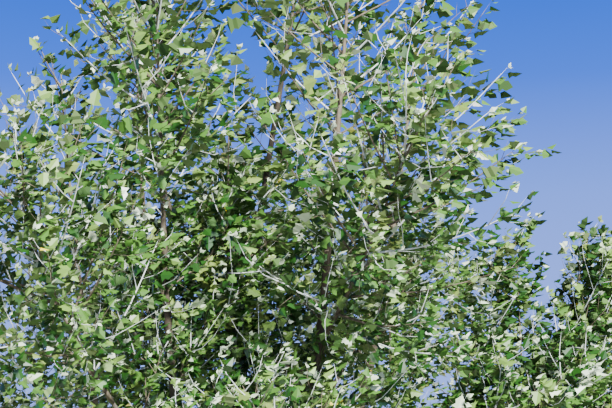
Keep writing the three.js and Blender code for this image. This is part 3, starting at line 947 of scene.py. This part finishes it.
# Leaves
def leaf_template(half):
    """A thin closed leaf, folded along its midrib above and flat below."""
    rim = [(0, 0), *half, (1, 0), *[(x, -y) for x, y in reversed(half)]]
    points = [(x, y, -FOLD * abs(y)) for x, y in rim]
    n, m = len(rim), len(half)
    tip = m + 1
    upper = [(0, tip, 1), (0, n - 1, tip)]
    lower = [(0, 1, n - 1), (tip, n - m, m)]
    for i in range(1, m):
        upper += [(1, tip - i + 1, tip - i), (n - 1, n - tip + i, n - tip + i - 1)]
        lower += [(i, i + 1, n - i - 1), (i, n - i - 1, n - i)]
    return np.array(points, float), np.array(upper + lower), np.array([0] * len(upper) + [1] * len(lower))


TEMPLATES = [leaf_template(half) for half in SHAPES]


def leaf_arrays(template, roots, directions, faces, lengths):
    """All the leaves of one shape: vertices, triangles and which side each triangle is on."""
    shape, triangles, side = template
    sideways = np.cross(faces, directions)
    along, aside, up = shape.T[:, :, None]
    local = along * directions[:, None] + aside * sideways[:, None] + up * faces[:, None]
    vertices = roots[:, None] + local * lengths[:, None, None]
    start = np.arange(len(roots))[:, None, None] * len(shape)
    return vertices.reshape(-1, 3), (triangles[None] + start).reshape(-1, 3), np.tile(side, len(roots))


def deal_tints(points, spray, young, rng):
    """A tint for each leaf: its spray's, dealt out by height, or the young or the yellow one."""
    names = list(TINTS)
    height = np.bincount(spray, points[:, 2]) / np.maximum(np.bincount(spray), 1)
    # more deep sprays low in the crown and more light ones aloft: painted shade and painted light by height
    aloft = np.clip((height - LOW_TINTS) / (HIGH_TINTS - LOW_TINTS), 0, 1)[:, None]
    low, high = np.array([TINTS[name][3] for name in names]).T
    shares = np.cumsum(low + (high - low) * aloft, 1)
    tints = (rng.random_sample(len(height))[:, None] * shares[:, -1:] > shares).sum(1)[spray]
    how_young, share = YOUNG_TINT
    tints[(young > how_young) & (rng.random_sample(len(points)) < share)] = names.index("young")
    tints[rng.random_sample(len(points)) < YELLOW_SHARE] = names.index("yellow")
    return tints


def place_leaves(foliage):
    """Roots, directions, faces, lengths, tints and shapes of all leaves, as arrays."""
    rng = np.random.RandomState(LEAF_SEED)
    rows = np.array(foliage.sites)
    points, tangents, normals, to_tip, spray = np.split(rows, [3, 6, 9, 10], axis=1)
    to_tip, spray = to_tip[:, 0], spray[:, 0].astype(int)
    n = len(points)
    young = np.clip(1 - to_tip / YOUNG_REACH, 0, 1)
    deviation, limit = LEAF_SPREAD
    size = np.exp(np.clip(rng.normal(0, deviation, n), -limit, limit))
    grown = 1 + (np.interp(points[:, 2], *LEAF_GROWTH) - 1) * (1 - young)
    lengths = LEAF_LENGTH * size * (1 - YOUNG_SHRINKING * young) * grown
    opened = np.radians(rng.uniform(*LEAF_ANGLES, n) - YOUNG_CLOSING * young)[:, None]
    outwards = tangents * np.cos(opened) + normals * np.sin(opened)
    wind, change, width = BLOWN
    blown = wind + change * np.clip(points[:, 0] / width, -1, 1)
    drawn = outwards * SPREADING + WIND * blown[:, None] - UP * DROOP
    directions = rows_unit(drawn + rng.normal(0, FLUTTER, (n, 3)))
    # the face turns about the blade's length
    lean = UP + LEAN * rows_unit(points * (1, 1, 0) + 1e-6)
    level = rows_unit(lean - directions * (lean * directions).sum(1)[:, None])
    across = np.cross(directions, level)
    roll = rng.normal(0, ROLL_SPREAD, n)
    roll[rng.random_sample(n) < TURNED_OVER] += math.pi
    faces = level * np.cos(roll)[:, None] + across * np.sin(roll)[:, None]
    tints = deal_tints(points, spray, young, rng)
    shapes = np.digitize(size + rng.normal(0, SHAPE_SPREAD, n), LEAF_SHAPE_SIZES)
    shapes[young > YOUNGEST] = SHAPES.index(SMALL)
    reach = directions * lengths[:, None]
    keep = LIMBS.clear(points + reach * CLEAR_AT) & within_reach(points + reach)
    keep &= ~np.isin(spray, foliage.dropped)
    return [a[keep] for a in (points, directions, faces, lengths, tints, shapes)]


# Bark
def lattice_noise(points, spacing, seed):
    """Smooth noise from -1 to 1 on a lattice that is spacing (x, y, z) wide."""
    scaled = points / np.asarray(spacing, float)
    cell = np.floor(scaled).astype(np.int64)
    part = scaled - cell
    part = part * part * (3 - 2 * part)
    total = np.zeros(len(points))
    for corner in range(8):
        bits = np.array([corner, corner >> 1, corner >> 2]) & 1
        x, y, z = (cell + bits).T
        key = (x * 73856093 ^ y * 19349663 ^ z * 83492791 ^ seed * 2654435761) & 0xFFFFFFFF
        key = (key * 1664525 + 1013904223) & 0xFFFFFFFF
        key = (key ^ key >> 15) * 2246822519 & 0xFFFFFFFF
        value = (key ^ key >> 13) / 2147483648.0 - 1
        weight = np.where(bits, part, 1 - part).prod(1)
        total += value * weight
    return total


def trunk_tube():
    heights = np.concatenate([np.linspace(*rings) for rings in TRUNK_RINGS])
    axis = np.array([trunk_axis(h) for h in heights])
    angle = np.arange(TRUNK_SIDES) * (2 * math.pi / TRUNK_SIDES)
    fade = np.exp(-heights / FLARE_FADE)[:, None]
    radii = np.array([foot_radius(h) for h in heights])[:, None]
    radii = radii * (1 + BUTTRESS_DEPTH * fade * np.cos(BUTTRESSES * angle)[None])
    count = len(heights)
    return tube(axis, np.tile(UP, (count, 1)), np.tile([1.0, 0, 0], (count, 1)), radii, TRUNK_SIDES)


def limb_tubes(boughs):
    """The trunk and boughs as tubes that start inside one another, with a collar at each fork."""
    parts = [trunk_tube()]
    named = {bough.name: bough for bough in boughs}
    for bough in boughs:
        path = bough.fine
        run = np.concatenate([[0], np.cumsum(np.linalg.norm(np.diff(path.points, axis=0), axis=1))])
        radii = np.linspace(bough.base, bough.tip, len(run))
        if bough.parent:
            in_trunk = bough.parent == "trunk"
            inside = trunk_radius(path.points[0][2]) if in_trunk else named[bough.parent].base * COLLAR_INSIDE
            radii = radii * (1 + COLLAR * np.exp(-np.maximum(0, run - inside) / (COLLAR_FADE * bough.base)))
        parts.append(tube(path.points, path.tangents, path.normals, radii, BOUGH_SIDES))
    return joined(parts)


def skinned(vertices, triangles):
    """One closed skin over all the tubes, as a mesh that is finer at the foot."""
    rough = mesh_object("bark_rough", vertices, triangles, [])
    remesh = rough.modifiers.new("skin", "REMESH")
    remesh.mode = "VOXEL"
    remesh.voxel_size = VOXEL
    smooth = rough.modifiers.new("smooth", "SMOOTH")
    smooth.factor, smooth.iterations = SMOOTHING
    fewer = rough.modifiers.new("fewer", "DECIMATE")
    fewer.ratio = KEPT_FACES
    ready = rough.evaluated_get(bpy.context.evaluated_depsgraph_get())
    mesh = bpy.data.meshes.new_from_object(ready)
    bpy.data.objects.remove(rough)

    work = bmesh.new()
    work.from_mesh(mesh)
    low = [edge for edge in work.edges if all(v.co.z < FOOT for v in edge.verts)]
    bmesh.ops.subdivide_edges(work, edges=[e for e in low if e.calc_length() > FOOT_EDGE], cuts=1)
    bmesh.ops.triangulate(work, faces=work.faces[:])
    work.to_mesh(mesh)
    work.free()
    return mesh


def bark_relief(points):
    """How far each point of the skin moves outwards, in furrows at the foot and soft swellings."""

    def ridges(lattice, steepness, seed):
        return 1 - np.abs(lattice_noise(points, lattice, seed)) * steepness

    height = points[:, 2]
    reach, curve = OLD_BARK
    old = np.clip(1 - height / reach, 0, 1) ** curve
    furrow = np.clip(ridges(*FURROWS), 0, 1) + FINE_SHARE * np.clip(ridges(*FINE_FURROWS), 0, 1)
    swell = sum(lattice_noise(points, lattice, seed) * most for lattice, most, seed in SWELLINGS)
    ridge, depth = FURROW_DEPTHS
    move = swell * np.where(height > CALM_ABOVE, CALM, 1.0) + old * (ridge - depth * furrow)
    return move * np.clip(height / LEVEL_FOOT, 0, 1)


def bark_piece(boughs):
    mesh = skinned(*limb_tubes(boughs))
    points = np.empty(len(mesh.vertices) * 3, np.float32)
    mesh.vertices.foreach_get("co", points)
    points = points.reshape(-1, 3).astype(float) * METRE
    _, outwards = LIMBS.nearest(points)
    points += outwards * bark_relief(points)[:, None]
    points[:, 2] = np.maximum(points[:, 2], 0)
    mesh.vertices.foreach_set("co", (points * MM).astype(np.float32).ravel())
    mesh.polygons.foreach_set("use_smooth", np.ones(len(mesh.polygons), bool))
    mesh.materials.append(bark_material())
    mesh.update()
    mesh.name = "bark"
    return in_scene("bark", mesh)


# Build
def dress(piece, nodes):
    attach(piece, "root")
    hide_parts(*nodes)


boughs = make_boughs()
spaces = [Space(bough, i + 1) for i, bough in enumerate(boughs)]
for space in spaces:
    space.part_from(spaces)
LIMBS = Limbs(boughs)
FOLIAGE_NODES = ["foliage_" + bough.name for bough in boughs]
BOUGH_NODES = ["bough_" + bough.name for bough in boughs]

foliage = grow_foliage(spaces)
roots, directions, faces, lengths, tints, shapes = place_leaves(foliage)

for number, (name, (upper, lower, roughness, _)) in enumerate(TINTS.items()):
    top, _ = principled(f"leaf_{name}_upper", upper, roughness, UPPER_SPECULAR)
    under, _ = principled(f"leaf_{name}_under", lower, UNDER_ROUGHNESS, UNDER_SPECULAR)
    chosen = np.flatnonzero(tints == number)
    count = sum(len(TEMPLATES[shape][1]) for shape in shapes[chosen])
    for part, some in enumerate(np.array_split(chosen, count // PIECE_LIMIT + 1)):
        made = []
        for shape, template in enumerate(TEMPLATES):
            of = some[shapes[some] == shape]
            made.append(leaf_arrays(template, roots[of], directions[of], faces[of], lengths[of]))
        vertices, triangles = joined([(v, t) for v, t, _ in made])
        side = np.concatenate([m for _, _, m in made])
        piece = mesh_object(f"leaves_{name}_{part}", vertices, triangles, [top, under], side)
        dress(piece, FOLIAGE_NODES)

felt = twig_material("felted_shoot", *FELT)
brown = twig_material("young_bark", *BROWN)
for name, parts, material in (("twigs_felted", foliage.felted, felt), ("twigs_brown", foliage.brown, brown)):
    vertices, triangles = joined(parts)
    dress(mesh_object(name, vertices, triangles, [material], smooth=True), FOLIAGE_NODES)
dress(bark_piece(boughs), ["trunk", *BOUGH_NODES])

# Stage
bpy.ops.mesh.primitive_plane_add(size=FLOOR_SIZE, location=(0, 0, 0))
floor = bpy.context.object
floor.name = "floor"
floor_material, _ = principled("floor", *FLOOR)
floor.data.materials.append(floor_material)

world = bpy.data.worlds.new("studio")
bpy.context.scene.world = world
world.use_nodes = True
tree = world.node_tree
background = tree.nodes["Background"]
background.inputs["Strength"].default_value = WORLD_STRENGTH
way = add_node(tree, "TexCoord").outputs["Generated"]
climb = add_node(tree, "SeparateXYZ", [(0, way)]).outputs["Z"]
tree.links.new(ramp(tree, climb, WORLD), background.inputs["Color"])


def turn_towards(location, target):
    """The rotation of a lamp at location that shines on target."""
    way = np.array(target, float) - np.array(location, float)
    return (math.acos(-way[2] / np.linalg.norm(way)), 0, math.atan2(-way[0], way[1]))


lamp_data = bpy.data.lights.new("key", "SUN")
lamp_data.energy = KEY_POWER
lamp_data.color = KEY_COLOUR
lamp_data.angle = KEY_WIDTH
lamp = in_scene("key", lamp_data)
lamp.location = KEY_PLACE
lamp.rotation_euler = turn_towards(KEY_PLACE, KEY_TARGET)

camera_data = bpy.data.cameras.new("camera")
camera_data.sensor_width = SENSOR_WIDTH
camera_data.lens = LENS
camera = in_scene("camera", camera_data)
camera.location = CAMERA_PLACE
camera.rotation_euler = (math.radians(90 + CAMERA_TILT), 0, 0)
bpy.context.scene.camera = camera
